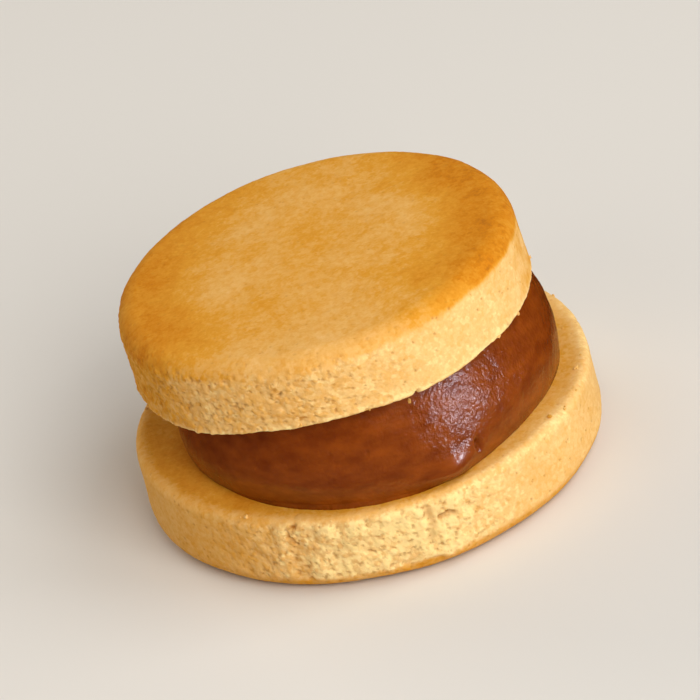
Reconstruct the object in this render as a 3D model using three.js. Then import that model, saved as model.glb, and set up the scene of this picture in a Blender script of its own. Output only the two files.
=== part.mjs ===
// Alfajor: a thick layer of milk caramel between two round butter biscuits, put together by hand.
// Millimetres, +Z up. The origin is the centre of the flat face that the lower biscuit rests on.
// -Y is the front and +X the right: at the front right the biscuits stand furthest apart.

import * as THREE from "three";
import { mergeVertices } from "three/addons/utils/BufferGeometryUtils.js";

// Driving dimensions
const LOWER_DIAMETER = 45;
const UPPER_DIAMETER = 40.2;
const BISCUIT_THICKNESS = 8.2;
const FILLING_DIAMETER = 38.2; // at its bulge
const FILLING_HEIGHT = 9.2; // between the biscuits, under the upper one's centre

// Where the layers' axes have slipped to from the lower biscuit's
const FILLING_SLIP = { x: 0.8, y: -1.8 };
const UPPER_SLIP = { x: -1.1, y: -1.1 };

// The upper biscuit leans: it rises towards this bearing, counted from +X to +Y
const UPPER_LEAN = THREE.MathUtils.degToRad(4.5);
const LEAN_BEARING = THREE.MathUtils.degToRad(-38);

// A biscuit's edges: crisp where it lay on the tray, rounded over where the heat came from above
const TRAY_EDGE = { across: 0.5, up: 1 };
const OVEN_EDGE = { across: 2.6, down: 2.2 };
const OVEN_EDGE_FULLNESS = 0.58; // between a straight bevel, 0, and a square corner, 1
const UPPER_DOME = 0.35; // the rise of the upper biscuit's outer face over its edge

// The filling has slumped: how far up it is widest, as a share of its height, and how far it draws in
// from there to the lower and to the upper biscuit. A hair's breadth keeps it clear of both.
const BULGE_AT = 0.38;
const FOOT_SETBACK = 1.3;
const HEAD_SETBACK = 2.6;
const CONTACT_GAP = 0.3;

// Facets
const SEGMENTS = 72;
const EDGE_STEPS = 4;
const BULGE_STEPS = 10;
const DOME_STEPS = 4;

// Unevenness round a rim: how many lobes, how deep as a share of the radius, and where the first one lies
const LOWER_LOBES = [
  { count: 2, depth: 0.007, phase: 0.6 },
  { count: 3, depth: 0.005, phase: 2.2 },
  { count: 5, depth: 0.003, phase: 4.1 },
];
const UPPER_LOBES = [
  { count: 2, depth: 0.008, phase: 2.5 },
  { count: 3, depth: 0.006, phase: 0.3 },
  { count: 7, depth: 0.002, phase: 1.2 },
];
const FILLING_LOBES = [
  { count: 2, depth: 0.02, phase: 4.5 },
  { count: 3, depth: 0.024, phase: 5.2 },
  { count: 4, depth: 0.01, phase: 5.9 },
];

const BISCUIT = { color: 0xedbd72, roughness: 0.85, metalness: 0 };
const MILK_CARAMEL = { color: 0x80400f, roughness: 0.32, metalness: 0 };

// Turns a profile about +Z and closes it, moving each point as reshape says.
function turned(profile, reshape) {
  const geometry = new THREE.LatheGeometry(profile, SEGMENTS);
  geometry.rotateX(Math.PI / 2);
  geometry.deleteAttribute("normal");
  geometry.deleteAttribute("uv");
  const places = geometry.getAttribute("position");
  const point = new THREE.Vector3();
  for (let i = 0; i < places.count; i++) {
    reshape(point.fromBufferAttribute(places, i));
    places.setXYZ(i, point.x, point.y, point.z);
  }
  const closed = mergeVertices(geometry);
  closed.computeVertexNormals();
  return closed;
}

// Pushes a point out or in from the axis by the lobes at its bearing.
function unevenly(point, lobes) {
  const bearing = Math.atan2(point.y, point.x);
  let share = 1;
  for (const { count, depth, phase } of lobes) {
    share += depth * Math.cos(count * bearing + phase);
  }
  point.x *= share;
  point.y *= share;
}

// A biscuit as it lay on the tray: its flat face at z = 0, and its rounded and perhaps domed face above.
function biscuit(diameter, dome, lobes) {
  const radius = diameter / 2;
  const shoulder = BISCUIT_THICKNESS - dome;
  const face = radius - OVEN_EDGE.across;
  const roundingStart = shoulder - OVEN_EDGE.down;
  const rim = new THREE.Path();
  rim.moveTo(radius - TRAY_EDGE.across, 0);
  rim.quadraticCurveTo(radius, 0, radius, TRAY_EDGE.up);
  rim.lineTo(radius, roundingStart);
  rim.bezierCurveTo(
    radius, roundingStart + OVEN_EDGE.down * OVEN_EDGE_FULLNESS,
    face + OVEN_EDGE.across * OVEN_EDGE_FULLNESS, shoulder,
    face, shoulder,
  );
  const profile = [new THREE.Vector2(0, 0), ...rim.getPoints(EDGE_STEPS)];
  for (let step = 1; step <= DOME_STEPS; step++) {
    const inward = step / DOME_STEPS;
    profile.push(new THREE.Vector2(face * (1 - inward), shoulder + dome * inward * (2 - inward)));
  }
  return turned(profile, (point) => unevenly(point, lobes));
}

// How far the filling draws in from its bulge at a share of its height, on two quarter ellipses.
function setbackAt(share) {
  const below = share < BULGE_AT;
  const away = (share - BULGE_AT) / (below ? BULGE_AT : 1 - BULGE_AT);
  return (below ? FOOT_SETBACK : HEAD_SETBACK) * (1 - Math.sqrt(1 - away * away));
}

// The caramel squeezed between the biscuits: a barrel whose height follows the gap above each of its points.
function filling() {
  const radius = FILLING_DIAMETER / 2;
  const profile = [new THREE.Vector2(0, 0)];
  for (let step = 0; step <= BULGE_STEPS; step++) {
    const share = (1 - Math.cos((Math.PI * step) / BULGE_STEPS)) / 2;
    profile.push(new THREE.Vector2(radius - setbackAt(share), share));
  }
  profile.push(new THREE.Vector2(0, 1));
  return turned(profile, (point) => {
    unevenly(point, FILLING_LOBES);
    point.z = CONTACT_GAP + point.z * (gapAt(point.x, point.y) - 2 * CONTACT_GAP);
  });
}

// The height between the biscuits over a point of the filling, given from the filling's own axis.
function gapAt(x, y) {
  const right = x + FILLING_SLIP.x - UPPER_SLIP.x;
  const back = y + FILLING_SLIP.y - UPPER_SLIP.y;
  const rising = right * Math.cos(LEAN_BEARING) + back * Math.sin(LEAN_BEARING);
  return FILLING_HEIGHT + Math.tan(UPPER_LEAN) * rising;
}

function piece(name, geometry, finish) {
  const mesh = new THREE.Mesh(geometry, new THREE.MeshStandardMaterial(finish));
  mesh.name = name;
  return mesh;
}

// The lower biscuit lies turned over, so that its flat tray side takes the filling.
const lower = piece("lower_biscuit", biscuit(LOWER_DIAMETER, 0, LOWER_LOBES), BISCUIT);
lower.rotation.x = Math.PI;
lower.position.z = BISCUIT_THICKNESS;

const caramel = piece("caramel_filling", filling(), MILK_CARAMEL);
caramel.position.set(FILLING_SLIP.x, FILLING_SLIP.y, BISCUIT_THICKNESS);

// The upper biscuit lies tray side down on the filling, in a group that leans with it.
const leaning = new THREE.Group();
leaning.position.set(UPPER_SLIP.x, UPPER_SLIP.y, BISCUIT_THICKNESS + FILLING_HEIGHT);
leaning.quaternion.setFromAxisAngle(
  new THREE.Vector3(Math.sin(LEAN_BEARING), -Math.cos(LEAN_BEARING), 0),
  UPPER_LEAN,
);
leaning.add(piece("upper_biscuit", biscuit(UPPER_DIAMETER, UPPER_DOME, UPPER_LOBES), BISCUIT));

const alfajor = new THREE.Group();
alfajor.add(lower, caramel, leaning);

export default alfajor;
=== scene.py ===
# The looks of an alfajor: two crumbly butter biscuits with milk caramel between them.
# Sizes are in millimetres until a mesh is made of them. Bearings are in degrees, from +X towards +Y.

import math
from types import SimpleNamespace

import bmesh
import bpy
import numpy as np
from mathutils import Matrix, Vector, noise


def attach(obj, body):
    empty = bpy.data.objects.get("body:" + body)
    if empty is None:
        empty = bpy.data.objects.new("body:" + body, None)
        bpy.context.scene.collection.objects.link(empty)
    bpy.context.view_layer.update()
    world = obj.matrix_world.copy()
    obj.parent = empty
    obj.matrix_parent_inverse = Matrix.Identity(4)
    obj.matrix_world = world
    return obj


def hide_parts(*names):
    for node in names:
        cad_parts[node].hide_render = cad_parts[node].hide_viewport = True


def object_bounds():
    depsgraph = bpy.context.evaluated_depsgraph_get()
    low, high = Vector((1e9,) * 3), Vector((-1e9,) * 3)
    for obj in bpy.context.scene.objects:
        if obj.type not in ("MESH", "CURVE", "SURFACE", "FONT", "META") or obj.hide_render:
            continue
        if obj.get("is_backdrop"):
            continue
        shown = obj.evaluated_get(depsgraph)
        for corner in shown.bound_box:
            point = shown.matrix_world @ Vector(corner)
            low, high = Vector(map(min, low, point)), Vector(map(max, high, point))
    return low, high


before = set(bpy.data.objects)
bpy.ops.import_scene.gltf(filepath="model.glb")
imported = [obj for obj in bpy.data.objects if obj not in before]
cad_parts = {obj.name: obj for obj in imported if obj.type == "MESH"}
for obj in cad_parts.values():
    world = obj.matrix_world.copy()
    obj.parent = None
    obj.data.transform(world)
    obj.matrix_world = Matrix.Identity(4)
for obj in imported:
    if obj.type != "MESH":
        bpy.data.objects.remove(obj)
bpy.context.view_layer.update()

MM = 0.001

# Mesh steps: fine enough for crumb and pores where they show,
# and wide where another layer or the floor hides them
SIDE_STEP = 0.13
UPPER_SHOULDER_STEP = 0.18
LOWER_SHOULDER_STEP = 0.27
FACE_STEP = 0.22
LEDGE_STEP = 0.26
UNDERSIDE_STEP = 0.5
HIDDEN_STEP = 1.6
CARAMEL_STEP = 0.14
CRUMB_SUBDIVISIONS = 3

# How many points each curve of a profile has, and how many bearings an outline is read at
CORNER_POINTS = 12
DOME_POINTS = 10
FLANK_POINTS = 60
OUTLINE_SPOKES = 72

# A biscuit's rim: crisp where it lay on the tray, rounded over on the side that browned in the oven
UPPER_TRAY_EDGE = 0.3
LOWER_TRAY_EDGE = 1.0
OVEN_EDGE_ACROSS = 2.4
OVEN_EDGE_DOWN = 2.2
UPPER_DOME = 0.35

# How far in from the rim the tray face may show beside the caramel
UPPER_LEDGE = 4.0
LOWER_LEDGE = 7.0

# How a biscuit warped and dented, as widths and heights
WARP = 10.0
WARP_RISE = 0.15
DENT = 4.0
DENT_RISE = 0.07

# The crumb, by the size of what makes it up, and the odds that a place for a pinhole has one
SUGAR_GRAIN = 0.45
DOUGH_LUMP = 0.9
PINHOLE_SPACING = 0.8
PINHOLE_ODDS = 0.55
PORE = 0.5
FLAKE = 1.5
ROUGH_SIDE = 0.9
ROUGH_FACE = 1.2

# How far the crumb stands out or is sunk
ROUGH_SIDE_RISE = 0.016
ROUGH_FACE_RISE = 0.012
LOOSE_RISE = 0.02
GRAIN_RISE = 0.03
LOOSE_GRAIN_RISE = 0.1
LOOSE_LUMP_RISE = 0.2
FLAKE_DEPTH = 0.07
PORE_DEPTH = 0.14

# Lumps of squeezed dough: their width, that as a share of their height, and the smaller lumps on them
SQUEEZED_LUMP = 2.0
LUMP_WIDTH_TO_HEIGHT = 0.45
SMALL_LUMP = 1.0
SMALL_LUMP_SHARE = 0.35

# The edge that lay on the tray: how high and how far in it goes, how far it spread,
# and how ragged and chipped it is
LIP_UP = 0.5
LIP_IN = 0.6
LIP_SPREAD = 0.06
RAG = 0.8
RAG_RISE = 0.05
LOOSE_RAG_RISE = 0.07
CHIP = 2.6
CHIP_DEPTH = 0.25

# Where that edge curled up: the curl fades out between these distances in from it, and over this height
CURL_INSETS = (0.5, 3.0)
CURL_HEIGHT = 4.0

# How far a crack strays from its line
CRACK_JAG = 0.14

# How far each surface has browned, from 0 for pale dough to 1 for a deep brown
OVEN_FACE_TONE = 0.44
TRAY_EDGE_TONE = 0.2
TRAY_FACE_ADDS = 0.2
# Beside the caramel: a stain of butter and caramel, and painted contact shade where its foot meets the tray
# face
SOAKED_ADDS = 0.14
LIP_TAKES = 0.15
# Proud lumps are painted paler and the hollows between them darker: painted light and shade, with the pale
# inside of broken crumb
LUMP_TAKES = 0.3
GRAIN_TONE = 0.14
PATCH_TONE = 0.1
SMALL_PATCH_TONE = 0.06
CRUMB_TONE = 0.28
CRUMB_TONE_VARIES = 0.25

# How wide the browned patches are, and the bands in which the tone changes: in from the edge on the oven face
# and on the tray face, out from the caramel where it stained and painted contact shade lies, and up from the
# tray edge
PATCH = 5.0
SMALL_PATCH = 1.6
RIM_BAND = (2.0, 11.0)
TRAY_EDGE_BAND = (0.6, 1.8)
SOAKED_BAND = (-0.8, 1.6)
PALE_LIP = 0.45

# How dark the hollows are painted, from 0 to 1: painted shade in pores, flakes and cracks, with a browner
# crumb there
PORE_DARK = 0.6
FLAKE_DARK = 0.12
CRACK_DARK_PER_MM = 1.3

# The caramel: where it is widest, how far it draws in to each biscuit, how its flank bends between a cone, 1,
# and a barrel, 2, how deep it sticks in the biscuits, and how far inside its edges the mesh turns coarse
BULGE_AT = 0.28
FOOT_SETBACK = 0.7
HEAD_SETBACK = 2.6
FLANK_CURVE = 1.55
STICKS_IN = 0.15
COARSE_INSIDE = 3.0

# The caramel's skin, as widths and heights: how it sags, wrinkles and is pitted by burst bubbles,
# with the odds that a place for a bubble has one and how much of its wrinkles a taut skin loses
SAG = 7.0
SAG_RISE = 0.15
SMALL_SAG = 2.6
SMALL_SAG_RISE = 0.07
WRINKLE = 0.8
WRINKLE_RISE = 0.04
BUBBLE_SPACING = 3.0
BUBBLE_DEPTH = 0.16
BUBBLE_ODDS = 0.38
TAUT_LOSES = 0.7

# Loose crumbs: their sizes as shares of the largest there, their sides as shares of a ball's,
# how lumpy they are, and how proud they sit as a share of their size
CRUMB_SIZES = (0.35, 1.0)
CRUMB_STRETCH = (0.7, 1.2)
CRUMB_LUMPY = 0.8
CRUMB_PROUD = 0.2

# The camera looks from the front, from above, with the cookie's right side raised in the picture
VIEW_ELEVATION = 31.0
VIEW_ROLL = -14.5
VIEW_DISTANCE = 1200.0
VIEW_WIDTH = 68.0
SENSOR_WIDTH = 36.0

FLOOR_WIDTH = 3000.0
FLOOR_DROP = 0.02

# How far the patterns move with each seed, and the sine that gives each grain a number of its own
CLOUD_SHIFT = np.array((17.3, -9.1, 31.7))
GRAIN_SHIFT = np.array((-11.9, 23.3, 5.7))
GRAIN_SINE = np.array((12.99, 78.23, 37.72))
GRAIN_SINE_SPREAD = 4375.85


# Shapes

def smooth(low, high, value):
    """0 up to low, 1 from high, and an even S between."""
    share = np.clip((value - low) / (high - low), 0.0, 1.0)
    return share * share * (3.0 - 2.0 * share)


def hump(value, middle, width):
    """1 at the middle, falling away to nothing over about two widths."""
    return np.exp(-(((value - middle) / width) ** 2))


def turned_from(bearings, middle):
    """How far round each bearing is from a middle one, -180 to 180 degrees."""
    return (bearings - middle + 180.0) % 360.0 - 180.0


def around(bearings, middle, half_width):
    """1 near a bearing and 0 beyond the half width on either side of it."""
    return 1.0 - smooth(0.35 * half_width, half_width, np.abs(turned_from(bearings, middle)))


def stretches(bearings, rows):
    """What stretches of a rim add up to at each bearing. A row has a bearing, half a width and an amount."""
    return sum(amount * around(bearings, middle, half_width) for middle, half_width, amount in rows)


def cloud(points, size, seed, octaves=1, fall=1.0):
    """Smooth unevenness, about -1 to 1, in lumps of the given size, with finer octaves that fall off."""
    moved = points / size + CLOUD_SHIFT * seed
    return np.array([noise.fractal(spot, fall, 2.0, octaves) for spot in moved.tolist()])


def grains(points, size, seed):
    """How far the nearest grain centre is, in grain sizes, and that grain's own number from 0 to 1."""
    moved = points / size + GRAIN_SHIFT * seed
    found = [noise.voronoi(spot) for spot in moved.tolist()]
    near = np.array([distances[0] for distances, _ in found])
    centres = np.array([spots[0] for _, spots in found])
    own = np.modf(np.abs(np.sin(centres @ GRAIN_SINE)) * GRAIN_SINE_SPREAD)[0]
    return near, own


def cad_points(node):
    """The corners of a layer's CAD solid."""
    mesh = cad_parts[node].data
    flat = np.empty(len(mesh.vertices) * 3)
    mesh.vertices.foreach_get("co", flat)
    return flat.reshape(-1, 3) / MM


def seat_of(node):
    """The place and lean of a layer: at the middle of the flat face it lies on, with Z along its axis."""
    area = 0.0
    middle = Vector()
    down = Vector()
    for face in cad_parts[node].data.polygons:
        if face.normal.z < -0.99:
            area += face.area
            middle += face.center * face.area
            down += face.normal * face.area
    lean = Vector((0, 0, 1)).rotation_difference(-down)
    return Matrix.Translation(middle / area / MM) @ lean.to_matrix().to_4x4()


def placed(points, place):
    """Points turned and moved to a place."""
    turn = np.array(place.to_3x3())
    return points @ turn.T + np.array(place.translation)


def bearings_of(points):
    """Bearings about the Z axis, in radians."""
    return np.arctan2(points[:, 1], points[:, 0])


def reach_of(points):
    """Distances from the Z axis."""
    return np.hypot(points[:, 0], points[:, 1])


def outline_of(node, place):
    """The layer's outline as a function from bearings, in radians, to radii about its axis."""
    local = placed(cad_points(node), place.inverted())
    spokes = np.round(bearings_of(local) / (2 * np.pi) * OUTLINE_SPOKES).astype(int) % OUTLINE_SPOKES
    radii = np.zeros(OUTLINE_SPOKES)
    np.maximum.at(radii, spokes, reach_of(local))
    bearings = np.arange(OUTLINE_SPOKES) * 2 * np.pi / OUTLINE_SPOKES
    return lambda at: np.interp(at, bearings, radii, period=2 * np.pi)


def mean_radius(outline):
    return outline(np.linspace(-np.pi, np.pi, 360)).mean()


def spaced_rings(profile):
    """Radius, height and step of rings set along a profile, each as far on as the profile's step says."""
    radius, height, step = np.array(profile, float).T
    along = np.concatenate([[0.0], np.cumsum(np.hypot(np.diff(radius), np.diff(height)))])
    places = [0.0]
    while places[-1] < along[-1]:
        places.append(places[-1] + np.interp(places[-1], along, step))
    places[-1] = along[-1]
    return [np.interp(places, along, column) for column in (radius, height, step)]


def bridge(first, second):
    """Triangles between two closed rings of points, given by number, that may differ in count."""
    a, b = len(first), len(second)
    mids_a = (np.arange(a) + 0.5) / a
    mids_b = (np.arange(b) + 0.5) / b
    passed_b = np.searchsorted(mids_b, mids_a, side="left") % b
    passed_a = np.searchsorted(mids_a, mids_b, side="right") % a
    from_a = np.stack([first, np.roll(first, -1), second[passed_b]], axis=1)
    from_b = np.stack([np.roll(second, -1), second, first[passed_a]], axis=1)
    both = np.concatenate([from_a, from_b])
    apart = (both[:, 0] != both[:, 1]) & (both[:, 1] != both[:, 2]) & (both[:, 2] != both[:, 0])
    return both[apart]


def turned_body(profile, outline):
    """Points and triangles of a closed round body whose rings follow an outline."""
    usual_radius = mean_radius(outline)
    points = []
    triangles = []
    last = None
    start = 0
    for radius, height, step in zip(*spaced_rings(profile)):
        # A ring of no size is one point, the middle of a face
        count = max(3, round(2 * np.pi * radius / step)) if radius > 0.0 else 1
        bearings = np.arange(count) * 2 * np.pi / count
        reach = radius * outline(bearings) / usual_radius
        heights = np.full(count, height)
        points.append(np.stack([reach * np.cos(bearings), reach * np.sin(bearings), heights], axis=1))
        ring = np.arange(start, start + count)
        start += count
        if last is not None:
            triangles.append(bridge(last, ring))
        last = ring
    return np.concatenate(points), np.concatenate(triangles)


def facing(points, triangles):
    """The outward direction of a closed mesh at each of its points."""
    a, b, c = (points[triangles[:, corner]] for corner in range(3))
    across = np.cross(b - a, c - a)
    total = np.zeros_like(points)
    for corner in range(3):
        np.add.at(total, triangles[:, corner], across)
    return total / np.linalg.norm(total, axis=1, keepdims=True)


def add_piece(name, points, triangles, material, slot, **tones):
    """A piece of the cookie, with a number at each point under each tone's name for the material to read."""
    mesh = bpy.data.meshes.new(name)
    mesh.from_pydata((points * MM).tolist(), [], triangles.tolist())
    mesh.polygons.foreach_set("use_smooth", np.ones(len(triangles), bool))
    for tone, values in tones.items():
        mesh.attributes.new(tone, "FLOAT", "POINT").data.foreach_set("value", values.astype(np.float32))
    mesh.materials.append(material)
    piece = bpy.data.objects.new(name, mesh)
    bpy.context.scene.collection.objects.link(piece)
    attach(piece, "root")
    return piece


# Materials

def linear(hex_colour):
    """A linear colour, with alpha, from an sRGB hex value."""
    channels = [int(hex_colour[i:i + 2], 16) / 255 for i in (1, 3, 5)]
    return [c / 12.92 if c <= 0.04045 else ((c + 0.055) / 1.055) ** 2.4 for c in channels] + [1.0]


def per_metre(size):
    """A texture scale from the real size of what it draws."""
    return 1.0 / (size * MM)


def add_node(tree, kind, inputs, **settings):
    """Adds a node, with its settings, and sets or links each of the inputs that are named or numbered."""
    node = tree.nodes.new("ShaderNode" + kind)
    for setting, value in settings.items():
        setattr(node, setting, value)
    for socket, value in inputs.items():
        if isinstance(value, bpy.types.NodeSocket):
            tree.links.new(value, node.inputs[socket])
        else:
            node.inputs[socket].default_value = value
    return node


def new_material(name):
    material = bpy.data.materials.new(name)
    material.use_nodes = True
    material.node_tree.nodes.clear()
    return material


def baked_butter_biscuit():
    """Short butter dough, cut and baked: a dry, sandy crumb, pale at the sides and golden brown on its faces.

    It scatters a little light, has no gloss to speak of, and its hollows are painted darker: painted shade,
    with a browner crumb.
    """
    material = new_material("baked_butter_biscuit")
    tree = material.node_tree
    where = add_node(tree, "TexCoord", {}).outputs["Object"]
    # The tone holds how far the dough browned, with stretches painted lighter or darker as painted light and
    # shade
    browning = add_node(tree, "Attribute", {}, attribute_name="browning").outputs["Fac"]
    pore = add_node(tree, "Attribute", {}, attribute_name="pore").outputs["Fac"]
    # Flour and sugar grain about 0.25 mm, and browned patches a few millimetres wide
    grain = add_node(tree, "TexNoise", {"Vector": where, "Scale": per_metre(0.25), "Detail": 3.0})
    patches = add_node(tree, "TexNoise", {"Vector": where, "Scale": per_metre(2.2), "Detail": 4.0})
    mottled = add_node(tree, "Math", {0: patches.outputs["Fac"], 1: 0.2, 2: -0.1}, operation="MULTIPLY_ADD")
    browned = add_node(tree, "Math", {0: browning, 1: mottled.outputs[0]}, operation="ADD")
    speckle = add_node(tree, "Math", {0: grain.outputs["Fac"], 1: 0.26, 2: -0.13}, operation="MULTIPLY_ADD")
    depth = add_node(tree, "Math", {0: browned.outputs[0], 1: speckle.outputs[0]}, operation="ADD")
    bake = add_node(tree, "ValToRGB", {"Fac": depth.outputs[0]})
    # From pale dough through straw and gold to a deep brown
    stops = (
        (0.0, "#F7D692"),
        (0.12, "#EBBF7A"),
        (0.25, "#E5B166"),
        (0.55, "#D9962F"),
        (0.8, "#CA7C17"),
        (1.0, "#A9621A"),
    )
    while len(bake.color_ramp.elements) < len(stops):
        bake.color_ramp.elements.new(0.5)
    for element, (position, colour) in zip(bake.color_ramp.elements, stops):
        element.position = position
        element.color = linear(colour)
    # Hollows are mixed towards a darker brown: painted shade, with a browner crumb
    colour = add_node(tree, "Mix", {
        "Factor": pore,
        "A": bake.outputs["Color"],
        "B": linear("#A5661F"),
    }, data_type="RGBA")
    # Sandy grain, 0.16 mm
    fine = add_node(tree, "TexNoise", {
        "Vector": where,
        "Scale": per_metre(0.16),
        "Detail": 4.0,
        "Roughness": 0.7,
    })
    bump = add_node(tree, "Bump", {"Height": fine.outputs["Fac"], "Strength": 0.6, "Distance": 0.1 * MM})
    shader = add_node(tree, "BsdfPrincipled", {
        "Base Color": colour.outputs["Result"],
        "Normal": bump.outputs["Normal"],
        "Roughness": 0.85,
        "IOR": 1.45,
        "Specular IOR Level": 0.1,
        "Subsurface Weight": 0.15,
        "Subsurface Radius": (1.0, 0.55, 0.25),
        "Subsurface Scale": 0.6 * MM,
    })
    add_node(tree, "OutputMaterial", {"Surface": shader.outputs["BSDF"]})
    return material


def cooked_milk_caramel():
    """Milk and sugar cooked down thick: dark and dense, streaked with amber, under a satin skin.

    The skin breaks its highlight into fine grain. Light goes a little way in and comes out redder.
    """
    material = new_material("cooked_milk_caramel")
    tree = material.node_tree
    where = add_node(tree, "TexCoord", {}).outputs["Object"]
    # Streaks of amber about 2.4 mm long and half as high, as the caramel was drawn out when it was spread
    drawn = add_node(tree, "VectorMath", {0: where, 1: (1.0, 1.0, 2.0)}, operation="MULTIPLY")
    streaks = add_node(tree, "TexNoise", {
        "Vector": drawn.outputs["Vector"],
        "Scale": per_metre(2.4),
        "Detail": 2.0,
    })
    colour = add_node(tree, "Mix", {
        "Factor": streaks.outputs["Fac"],
        "A": linear("#5A1A01"),
        "B": linear("#994A0C"),
    }, data_type="RGBA")
    # The skin's grain, about 0.32 mm
    skin = add_node(tree, "TexNoise", {"Vector": where, "Scale": per_metre(0.32), "Detail": 2.0})
    # Where a swelling has drawn the skin taut it is smooth
    taut = add_node(tree, "Attribute", {}, attribute_name="taut").outputs["Fac"]
    loose = add_node(tree, "Math", {0: taut, 1: -0.8, 2: 1.0}, operation="MULTIPLY_ADD").outputs[0]
    bump = add_node(tree, "Bump", {"Height": skin.outputs["Fac"], "Strength": loose, "Distance": 0.08 * MM})
    shader = add_node(tree, "BsdfPrincipled", {
        "Base Color": colour.outputs["Result"],
        "Normal": bump.outputs["Normal"],
        "Roughness": 0.25,
        "IOR": 1.48,
        "Specular IOR Level": 0.8,
        "Subsurface Weight": 0.2,
        "Subsurface Radius": (1.0, 0.35, 0.12),
        "Subsurface Scale": 1.2 * MM,
    })
    add_node(tree, "OutputMaterial", {"Surface": shader.outputs["BSDF"]})
    return material


def matt_pale_floor():
    """Matt painted board: pale, even and without gloss."""
    material = new_material("matt_pale_floor")
    tree = material.node_tree
    shader = add_node(tree, "BsdfPrincipled", {"Base Color": linear("#DEDAD4"), "Roughness": 0.9})
    add_node(tree, "OutputMaterial", {"Surface": shader.outputs["BSDF"]})
    return material


# The biscuits

def biscuit_profile(radius, thickness, make):
    """From the middle of the tray face out, up round the rim and in to the middle of the oven face."""
    shoulder = thickness - make.dome
    face = radius - OVEN_EDGE_ACROSS
    corner = np.linspace(0.0, np.pi / 2, CORNER_POINTS)
    profile = [(0.0, 0.0, HIDDEN_STEP), (radius - make.ledge - 2 * HIDDEN_STEP, 0.0, HIDDEN_STEP)]
    profile += [(radius - make.ledge, 0.0, make.ledge_step)]
    for turn in corner:
        inward = make.tray_edge * (1 - math.sin(turn))
        up = make.tray_edge * (1 - math.cos(turn))
        profile.append((radius - inward, up, SIDE_STEP))
    for turn in corner:
        step = SIDE_STEP + (make.shoulder_step - SIDE_STEP) * math.sin(turn)
        down = OVEN_EDGE_DOWN * (1 - math.sin(turn))
        profile.append((face + OVEN_EDGE_ACROSS * math.cos(turn), shoulder - down, step))
    for inward in np.linspace(1.0 / DOME_POINTS, 1.0, DOME_POINTS):
        up = make.dome * inward * (2 - inward)
        profile.append((face * (1 - inward), shoulder + up, make.face_step))
    return profile


def biscuit_blank(node, place, make):
    """A smooth biscuit as it lay on the tray, with what can be said of each of its points."""
    outline = outline_of(node, place)
    thickness = placed(cad_points(node), place.inverted())[:, 2].max()
    points, triangles = turned_body(biscuit_profile(mean_radius(outline), thickness, make), outline)
    normals = facing(points, triangles)
    reach = reach_of(points)
    from_axis = placed(points, place) - np.array(place.translation)
    # Which face a point belongs to, by how far it faces up or down
    oven = smooth(0.15, 0.9, normals[:, 2])
    tray = smooth(0.3, 0.9, -normals[:, 2])
    return SimpleNamespace(
        points=points,
        triangles=triangles,
        normals=normals,
        height=points[:, 2],
        reach=reach,
        inset=outline(bearings_of(points)) - reach,
        bearings=np.degrees(bearings_of(from_axis)),
        oven=oven,
        tray=tray,
        side=1.0 - oven - tray,
    )


def looseness(blank, crumbly):
    """How loose the crumb of the side is, 0 to 1."""
    return np.minimum(stretches(blank.bearings, crumbly), 1.0) * blank.side


def crumb(blank, seed, crumbly):
    """The relief of the crumb, how dark each point is painted in its hollows as painted shade, and each
    grain's own tone.
    """
    points = blank.points
    loose = looseness(blank, crumbly)
    rough_side = ROUGH_SIDE_RISE * blank.side + LOOSE_RISE * loose
    rough_face = ROUGH_FACE_RISE * (1.0 + blank.tray) * (1.0 - blank.side)
    relief = rough_side * cloud(points, ROUGH_SIDE, seed, 4, 0.7)
    relief += rough_face * cloud(points, ROUGH_FACE, seed + 1, 3, 0.8)
    # Grains and lumps, each standing out or sunk by a measure of its own
    near, own = grains(points, SUGAR_GRAIN, seed + 2)
    relief += (GRAIN_RISE + LOOSE_GRAIN_RISE * loose) * (own - 0.3) * (1.0 - 2.0 * near**2)
    lump_near, lump_own = grains(points, DOUGH_LUMP, seed + 3)
    relief += LOOSE_LUMP_RISE * loose * (lump_own - 0.4) * (1.0 - 2.0 * lump_near**2)
    # Flakes that came away
    fallen = smooth(0.05, 0.35, cloud(points, FLAKE, seed + 4, 2)) * loose
    # Open pores in the loose crumb, and pinholes all over
    pore = smooth(0.3, 0.6, cloud(points, PORE, seed + 5, 2)) * (0.1 + 0.7 * loose)
    hole_near, hole_own = grains(points, PINHOLE_SPACING, seed + 6)
    has_pinhole = hole_own > 1.0 - PINHOLE_ODDS
    pinhole = has_pinhole * (1.0 - smooth(0.08, 0.22, hole_near)) * (0.5 + 0.4 * blank.side)
    hollow = np.maximum(pore, pinhole)
    relief -= FLAKE_DEPTH * fallen + PORE_DEPTH * hollow
    # The hollows are painted darker: painted shade, with a browner crumb
    dark = np.clip(PORE_DARK * hollow + FLAKE_DARK * fallen, 0.0, 1.0)
    return relief, dark, GRAIN_TONE * (1.0 + loose) * (own - 0.5)


def lumps(blank, seed, lumpy):
    """Where the dough was squeezed unevenly: upright lumps and folds in stretches of the side."""
    upright = blank.points * np.array((1.0, 1.0, LUMP_WIDTH_TO_HEIGHT))
    uneven = cloud(upright, SQUEEZED_LUMP, seed)
    uneven += SMALL_LUMP_SHARE * cloud(blank.points, SMALL_LUMP, seed + 1, 2)
    return stretches(blank.bearings, lumpy) * blank.side * uneven


def tray_lip(blank, seed, crumbly):
    """The edge that lay on the tray: spread a little, ragged with crumb and chipped in places."""
    loose = looseness(blank, crumbly)
    edge = hump(blank.height, 0.0, LIP_UP) * hump(blank.inset, 0.0, LIP_IN)
    chipped = smooth(0.2, 0.6, cloud(blank.points, CHIP, seed + 1, 2)) * (0.2 + 0.8 * loose)
    ragged = (RAG_RISE + LOOSE_RAG_RISE * loose) * cloud(blank.points, RAG, seed, 3, 0.7)
    return edge * (LIP_SPREAD + ragged - CHIP_DEPTH * chipped)


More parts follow.
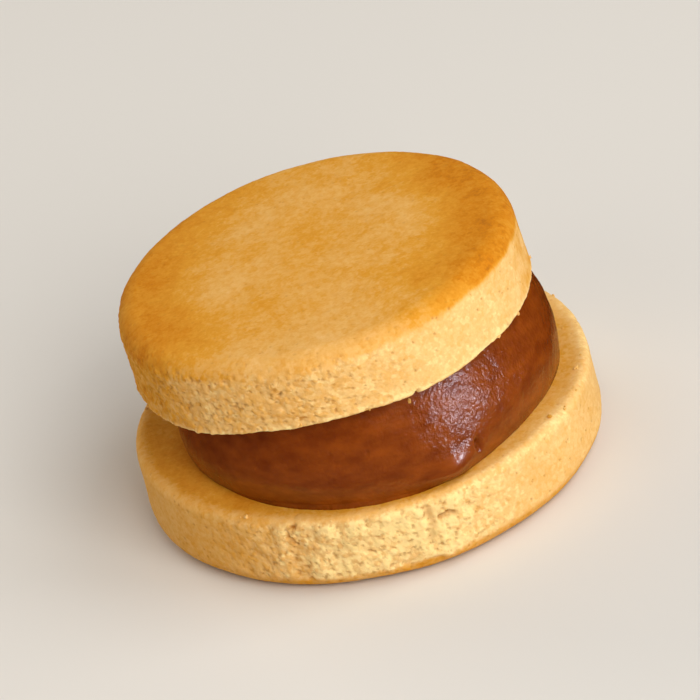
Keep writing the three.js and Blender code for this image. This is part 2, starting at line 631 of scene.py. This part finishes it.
def lip_lift(blank, waves):
    """How far the edge of the tray face curled up."""
    near_edge = (1.0 - smooth(*CURL_INSETS, blank.inset)) * (1.0 - smooth(0.0, CURL_HEIGHT, blank.height))
    return near_edge * stretches(blank.bearings, waves)


def crack_depth(blank, cracks, seed):
    """How deep the cracks are. Each is jagged along its line and gapes more or less."""
    deepest = np.zeros(len(blank.points))
    jagged = CRACK_JAG * cloud(blank.points, 1.0, seed, 4, 0.6)
    torn = CRACK_JAG * cloud(blank.points, 0.9, seed + 1, 4, 0.6)
    gaping = np.maximum(1.0 + 0.9 * cloud(blank.points, 0.8, seed + 2, 2), 0.35)
    for depth, half_width, stops in cracks:
        for (start, low), (end, high) in zip(stops, stops[1:]):
            across = np.radians(turned_from(blank.bearings, start)) * blank.reach + jagged
            up = blank.height - low + torn
            run = np.array((math.radians(end - start) * blank.reach.max(), high - low))
            along = np.clip((across * run[0] + up * run[1]) / (run @ run), 0.0, 1.0)
            off = np.hypot(across - along * run[0], up - along * run[1])
            deepest = np.maximum(deepest, depth * hump(off, 0.0, half_width * gaping))
    return deepest * (1.0 - blank.oven)


def beside_caramel(points):
    """How far out from the caramel's bulge each point of the cookie lies."""
    place = seat_of("caramel_filling")
    away = points - np.array(place.translation)
    return reach_of(away) - outline_of("caramel_filling", place)(bearings_of(away))


def browning(blank, place, seed, make):
    """How far each point has browned: most on the faces, least at the sides, and more or less by bearing,
    where some stretches are painted light and shade.
    """
    patchy = PATCH_TONE * cloud(blank.points, PATCH, seed)
    patchy += SMALL_PATCH_TONE * cloud(blank.points, SMALL_PATCH, seed + 1, 2)
    rim = 1.0 - smooth(*RIM_BAND, blank.inset)
    # Stretches of the face are painted lighter or darker as painted light and shade, besides uneven baking
    oven = OVEN_FACE_TONE + patchy + rim * stretches(blank.bearings, make.face_tan)
    # Butter and caramel have stained the tray face beside the filling, and the darker band there is also
    # painted contact shade at the caramel's foot
    soaked = 1.0 - smooth(*SOAKED_BAND, beside_caramel(placed(blank.points, place)))
    tray = TRAY_EDGE_TONE + TRAY_FACE_ADDS * smooth(*TRAY_EDGE_BAND, blank.inset)
    # Stretches of the tray face are painted lighter or darker: painted light and shade
    tray += SOAKED_ADDS * soaked + patchy + stretches(blank.bearings, make.tray_tan)
    side = make.side_tone + 0.5 * patchy - LIP_TAKES * hump(blank.height, 0.0, PALE_LIP)
    # Stretches of the side are painted browner or paler, mostly as painted warm shade
    side += stretches(blank.bearings, make.side_tan)
    # The browned face ends in an uneven line where the shoulder turns down
    turned_down = blank.normals[:, 2] + 0.12 * cloud(blank.points, 2.2, seed + 2, 2)
    turned_down += stretches(blank.bearings, make.tan_over_edge)
    face = smooth(0.15, 0.5, turned_down)
    return face * oven + blank.tray * tray + (1.0 - face) * (1.0 - blank.tray) * side


def biscuit(name, node, place, seed, make, material):
    """One biscuit, shaped as it lay on the tray and then put in its place."""
    blank = biscuit_blank(node, place, make)
    crumb_relief, hollow, grain_tone = crumb(blank, seed, make.crumbly)
    crack = crack_depth(blank, make.cracks, seed + 10)
    relief = WARP_RISE * cloud(blank.points, WARP, seed + 20)
    relief += DENT_RISE * cloud(blank.points, DENT, seed + 21)
    lump = lumps(blank, seed + 30, make.lumpy)
    relief += crumb_relief + lump + tray_lip(blank, seed + 40, make.crumbly) - crack
    shaped = blank.points + blank.normals * relief[:, None]
    shaped[:, 2] += lip_lift(blank, make.lip_waves)
    shaped = placed(shaped, place)
    # Nothing reaches below the floor
    shaped[:, 2] = np.maximum(shaped[:, 2], 0.0)
    # Hollows and cracks are painted darker by their depth: painted shade, with a browner crumb
    dark = np.clip(hollow + CRACK_DARK_PER_MM * crack, 0.0, 1.0)
    # Proud lumps are painted paler and the hollows between them darker: painted light and shade, and the pale
    # inside of broken crumb
    tone = browning(blank, place, seed + 50, make) + grain_tone - LUMP_TAKES * lump
    piece = add_piece(name, shaped, blank.triangles, material, "biscuit", browning=tone, pore=dark)
    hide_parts(node)
    out = blank.normals @ np.array(place.to_3x3()).T
    return SimpleNamespace(points=shaped, out=out, height=blank.height, inset=blank.inset)


# The caramel

def caramel_setback(share):
    """How far the caramel draws in from its bulge at a share of its height: round below, sloping above."""
    below = np.sqrt(np.clip(1.0 - ((BULGE_AT - share) / BULGE_AT) ** 2, 0.0, 1.0))
    above = (np.maximum(share - BULGE_AT, 0.0) / (1.0 - BULGE_AT)) ** FLANK_CURVE
    return np.where(share < BULGE_AT, FOOT_SETBACK * (1.0 - below), HEAD_SETBACK * above)


def caramel_profile(radius, height):
    """From the middle of the foot out, up the bulging flank and in to the middle of the head."""
    shares = (1.0 - np.cos(np.linspace(0.0, np.pi, FLANK_POINTS))) / 2
    profile = [(0.0, 0.0, HIDDEN_STEP), (radius - FOOT_SETBACK - COARSE_INSIDE, 0.0, HIDDEN_STEP)]
    profile += [(radius - caramel_setback(share), share * height, CARAMEL_STEP) for share in shares]
    profile += [(radius - HEAD_SETBACK - COARSE_INSIDE, height, HIDDEN_STEP), (0.0, height, HIDDEN_STEP)]
    return profile


def caramel_blank(node, lower_place, upper_place):
    """The smooth layer between the biscuits, its height following the lean of the upper one."""
    place = seat_of(node)
    outline = outline_of(node, place)
    radius = mean_radius(outline)
    foot = lower_place.translation.z - STICKS_IN
    mean_height = upper_place.translation.z - foot
    points, triangles = turned_body(caramel_profile(radius, mean_height), outline)
    points[:, 0] += place.translation.x
    points[:, 1] += place.translation.y
    tilt = upper_place.to_3x3().col[2]
    away = points[:, :2] - np.array(upper_place.translation)[:2]
    head = upper_place.translation.z - away @ np.array(tilt)[:2] / tilt.z + STICKS_IN
    share = points[:, 2] / mean_height
    points[:, 2] = foot + share * (head - foot)
    return SimpleNamespace(
        points=points,
        triangles=triangles,
        normals=facing(points, triangles),
        radius=radius,
        share=share,
        height=points[:, 2] - foot,
        bearings=np.degrees(bearings_of(points - np.array(place.translation))),
    )


def swelling(blank, swells):
    """How far the caramel swells out or draws in at each point, and how taut that makes its skin, 0 to 1."""
    total = np.zeros(len(blank.points))
    taut = np.zeros(len(blank.points))
    for bearing, height, across, up, out in swells:
        beside = np.radians(turned_from(blank.bearings, bearing)) * blank.radius
        swollen = out * hump(beside, 0.0, across) * hump(blank.height, height, up)
        total += swollen
        taut = np.maximum(taut, smooth(0.25, 0.5, swollen))
    return total, taut


def caramel(name, node, lower_place, upper_place, swells, material):
    """The thick layer of caramel, sagged, wrinkled, pitted and swollen on its flank."""
    blank = caramel_blank(node, lower_place, upper_place)
    points = blank.points
    flank = 1.0 - smooth(0.75, 0.97, np.abs(blank.normals[:, 2]))
    relief = SAG_RISE * cloud(points, SAG, 51) + SMALL_SAG_RISE * cloud(points, SMALL_SAG, 52)
    near, own = grains(points, BUBBLE_SPACING, 55)
    relief -= BUBBLE_DEPTH * (own > 1.0 - BUBBLE_ODDS) * (1.0 - smooth(0.02, 0.05 + 0.07 * own, near))
    swollen, taut = swelling(blank, swells)
    relief += swollen + WRINKLE_RISE * cloud(points, WRINKLE, 54, 2) * (1.0 - TAUT_LOSES * taut)
    shaped = points + blank.normals * (relief * flank)[:, None]
    piece = add_piece(name, shaped, blank.triangles, material, "milk_caramel", taut=taut)
    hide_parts(node)
    return SimpleNamespace(points=shaped, out=blank.normals, share=blank.share)


# Crumbs

def crumb_ball():
    """Points and triangles of one round grain of radius 1."""
    ball = bmesh.new()
    bmesh.ops.create_icosphere(ball, subdivisions=CRUMB_SUBDIVISIONS, radius=1.0)
    ball.verts.ensure_lookup_table()
    points = np.array([vert.co[:] for vert in ball.verts])
    triangles = np.array([[vert.index for vert in face.verts] for face in ball.faces])
    ball.free()
    return points, triangles


def perch(layer, keep, count, largest):
    """Points of a layer where crumbs settled, the way out from each, how many crumbs and the largest size."""
    return layer.points[keep], layer.out[keep], count, largest


def crumbs(name, perches, material):
    """Loose crumbs stuck where they fell, each lumpy and of its own size."""
    pick = np.random.default_rng(7)
    ball, ball_triangles = crumb_ball()
    points = []
    triangles = []
    for places, directions, count, largest in perches:
        for spot in pick.choice(len(places), count, replace=False):
            size = largest * pick.uniform(*CRUMB_SIZES) / 2
            stretch = pick.uniform(*CRUMB_STRETCH, 3)
            seed = int(pick.integers(100, 9000))
            lumpy = 1.0 + CRUMB_LUMPY * cloud(ball, 0.8, seed, 3, 0.7)
            grain = ball * lumpy[:, None] * stretch * size
            triangles.append(ball_triangles + len(ball) * len(points))
            points.append(grain + places[spot] + directions[spot] * size * CRUMB_PROUD)
    points = np.concatenate(points)
    tone = CRUMB_TONE + CRUMB_TONE_VARIES * cloud(points, 1.5, 71)
    no_pore = np.zeros(len(points))
    add_piece(name, points, np.concatenate(triangles), material, "biscuit", browning=tone, pore=no_pore)


# Making the cookie

UPPER_PLACE = seat_of("upper_biscuit")
LOWER_HEIGHT = cad_points("lower_biscuit")[:, 2].max()
TURNED_OVER = Matrix.Rotation(math.pi, 4, "X")
LOWER_PLACE = Matrix.Translation((0.0, 0.0, LOWER_HEIGHT)) @ seat_of("lower_biscuit") @ TURNED_OVER

# How each biscuit came out. Apart from the cracks, each row is a stretch of the rim: a bearing, half a width
# and an amount. It says how loose the crumb is, how high the lumps are, how far the tray edge curled up,
# how much more or less each surface browned or is painted lighter or darker as painted light and shade,
# and how far the browned face runs down over the edge.
# A crack has a depth and half a width, and runs through bearings and heights from the tray face.
UPPER_MAKE = SimpleNamespace(
    dome=UPPER_DOME,
    tray_edge=UPPER_TRAY_EDGE,
    ledge=UPPER_LEDGE,
    ledge_step=UNDERSIDE_STEP,
    shoulder_step=UPPER_SHOULDER_STEP,
    face_step=FACE_STEP,
    crumbly=[(-132.0, 70.0, 1.0), (70.0, 35.0, 0.35), (150.0, 30.0, 0.5)],
    lumpy=[(-140.0, 60.0, 0.05)],
    cracks=[
        (0.12, 0.17, [(-126.0, 4.0), (-119.0, 3.6)]),
        (0.4, 0.2, [(-109.4, 4.4), (-108.4, 4.8)]),
        (0.4, 0.17, [(-72.6, 0.0), (-71.6, 0.4)]),
    ],
    lip_waves=[(-103.0, 35.0, 0.5)],
    tray_tan=[],
    # On the oven face: browner on the right, paler at the front as painted light, and browner at the
    # back-left, partly painted shade and partly uneven baking
    face_tan=[(0.0, 85.0, 0.32), (-95.0, 60.0, -0.1), (165.0, 80.0, 0.26)],
    tan_over_edge=[(22.0, 72.0, 0.3), (-170.0, 50.0, 0.3)],
    side_tone=0.15,
    # Browner towards the front-left and left of the side: painted warm shade
    side_tan=[(-150.0, 75.0, 0.08), (-178.0, 45.0, 0.25)],
)
LOWER_MAKE = SimpleNamespace(
    dome=0.0,
    tray_edge=LOWER_TRAY_EDGE,
    ledge=LOWER_LEDGE,
    ledge_step=LEDGE_STEP,
    shoulder_step=LOWER_SHOULDER_STEP,
    face_step=HIDDEN_STEP,
    crumbly=[(-100.0, 50.0, 1.0), (25.0, 30.0, 0.35), (120.0, 40.0, 0.45)],
    lumpy=[(-98.0, 45.0, 0.34)],
    cracks=[
        (0.3, 0.22, [(-115.5, 0.4), (-117.5, 0.9), (-117.6, 1.7), (-116.0, 2.5)]),
        (0.45, 0.28, [(-79.5, 2.5), (-77.5, 2.2), (-75.5, 2.4)]),
        (0.28, 0.4, [(-82.0, 0.8), (-81.0, 2.6), (-82.5, 4.4)]),
    ],
    lip_waves=[],
    # Paler on the right of the tray face and browner on the left: painted light and shade
    tray_tan=[(5.0, 75.0, -0.05), (-165.0, 60.0, 0.2)],
    face_tan=[],
    tan_over_edge=[],
    side_tone=0.09,
    # Browner on the left of the side, as painted warm shade; paler at the front and browner at the
    # front-right
    side_tan=[(-160.0, 70.0, 0.27), (-95.0, 45.0, -0.12), (-36.0, 56.0, 0.1)],
)
# Where the caramel has swollen or drawn in: bearing, height, size round it, size up it, and how far out
CARAMEL_SWELLS = [
    (-73.0, 1.6, 3.0, 1.4, 0.9),
    (-62.3, 2.4, 0.35, 0.6, -0.75),
    (-108.0, 1.0, 11.0, 3.0, -0.7),
    (5.0, 3.0, 9.0, 3.5, -0.45),
    (-120.0, 3.4, 4.0, 1.5, 0.15),
    (-30.0, 4.5, 3.5, 1.6, 0.12),
]

butter_biscuit = baked_butter_biscuit()
milk_caramel = cooked_milk_caramel()
upper = biscuit("upper_butter_biscuit", "upper_biscuit", UPPER_PLACE, 1, UPPER_MAKE, butter_biscuit)
lower = biscuit("lower_butter_biscuit", "lower_biscuit", LOWER_PLACE, 101, LOWER_MAKE, butter_biscuit)
filling = caramel("milk_caramel", "caramel_filling", LOWER_PLACE, UPPER_PLACE, CARAMEL_SWELLS, milk_caramel)
crumbs("biscuit_crumbs", [
    perch(upper, (upper.height < 0.4) & (upper.inset < 0.4), 24, 0.45),
    perch(lower, (lower.height < 0.4) & (lower.inset < 0.6), 16, 0.45),
    perch(lower, (lower.height < 0.05) & (lower.inset > 0.5) & (lower.inset < 4.0), 7, 0.5),
    perch(filling, (filling.share > 0.86) & (filling.share < 0.93), 10, 0.4),
], butter_biscuit)


# Floor, light and camera

def add_floor(material):
    """A floor just below the cookie, so that the two don't share a plane."""
    reach = FLOOR_WIDTH * MM / 2
    corners = [(x * reach, y * reach, -FLOOR_DROP * MM) for x, y in ((-1, -1), (1, -1), (1, 1), (-1, 1))]
    mesh = bpy.data.meshes.new("floor")
    mesh.from_pydata(corners, [], [(0, 1, 2, 3)])
    mesh.materials.append(material)
    floor = bpy.data.objects.new("floor", mesh)
    floor.visible_glossy = False
    bpy.context.scene.collection.objects.link(floor)
    floor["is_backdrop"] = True


def direction(azimuth, elevation):
    """The way to a place from the cookie: azimuth from the front to the right, elevation above the floor."""
    turn = math.radians(azimuth)
    rise = math.radians(elevation)
    return Vector((math.sin(turn) * math.cos(rise), -math.cos(turn) * math.cos(rise), math.sin(rise)))


def add_softbox(name, azimuth, elevation, distance, width, height, power, colour, mirrored):
    """A soft light aimed at the cookie. One that isn't mirrored leaves no highlight in the caramel."""
    light = bpy.data.lights.new(name, "AREA")
    light.shape = "RECTANGLE"
    light.size = width * MM
    light.size_y = height * MM
    light.energy = power
    light.color = linear(colour)[:3]
    softbox = bpy.data.objects.new(name, light)
    towards = direction(azimuth, elevation)
    softbox.location = towards * distance * MM
    softbox.rotation_euler = (-towards).to_track_quat("-Z", "Y").to_euler()
    softbox.visible_camera = False
    softbox.visible_glossy = mirrored
    bpy.context.scene.collection.objects.link(softbox)


def add_camera():
    """A long lens that looks at the middle of the cookie."""
    low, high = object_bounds()
    data = bpy.data.cameras.new("camera")
    data.sensor_width = SENSOR_WIDTH
    data.lens = SENSOR_WIDTH * VIEW_DISTANCE / VIEW_WIDTH
    data.clip_start = 0.01
    camera = bpy.data.objects.new("camera", data)
    towards = direction(0.0, VIEW_ELEVATION)
    camera.location = (low + high) / 2 + towards * VIEW_DISTANCE * MM
    level = (-towards).to_track_quat("-Z", "Y").to_matrix().to_4x4()
    camera.rotation_euler = (level @ Matrix.Rotation(math.radians(VIEW_ROLL), 4, "Z")).to_euler()
    bpy.context.scene.collection.objects.link(camera)
    bpy.context.scene.camera = camera


def add_daylight(strength, colour):
    """Even light from all round, which the caramel doesn't mirror."""
    world = bpy.data.worlds.new("daylight")
    world.use_nodes = True
    world.node_tree.nodes.clear()
    sky = add_node(world.node_tree, "Background", {"Color": linear(colour), "Strength": strength})
    add_node(world.node_tree, "OutputWorld", {"Surface": sky.outputs["Background"]})
    bpy.context.scene.world = world
    world.cycles_visibility.glossy = False


add_floor(matt_pale_floor())
# Softboxes: azimuth, elevation, distance, width, height, watts, colour, and whether the caramel mirrors it
add_softbox("key_softbox", 24.0, 36.0, 1000.0, 600.0, 600.0, 7.2, "#FFFDF8", False)
add_softbox("low_softbox", 62.0, 4.3, 1000.0, 180.0, 120.0, 2.2, "#EAF0FF", True)
add_softbox("top_softbox", 78.0, 55.0, 1100.0, 700.0, 700.0, 4.6, "#FFFFFF", False)
add_softbox("fill_softbox", -50.0, 36.0, 1200.0, 800.0, 600.0, 1.9, "#FFF1DD", False)
add_softbox("back_softbox", 215.0, 22.0, 1200.0, 700.0, 500.0, 4.2, "#FFF4E4", True)
add_daylight(0.22, "#FFFFFF")
add_camera()
bpy.context.scene.view_settings.view_transform = "Standard"
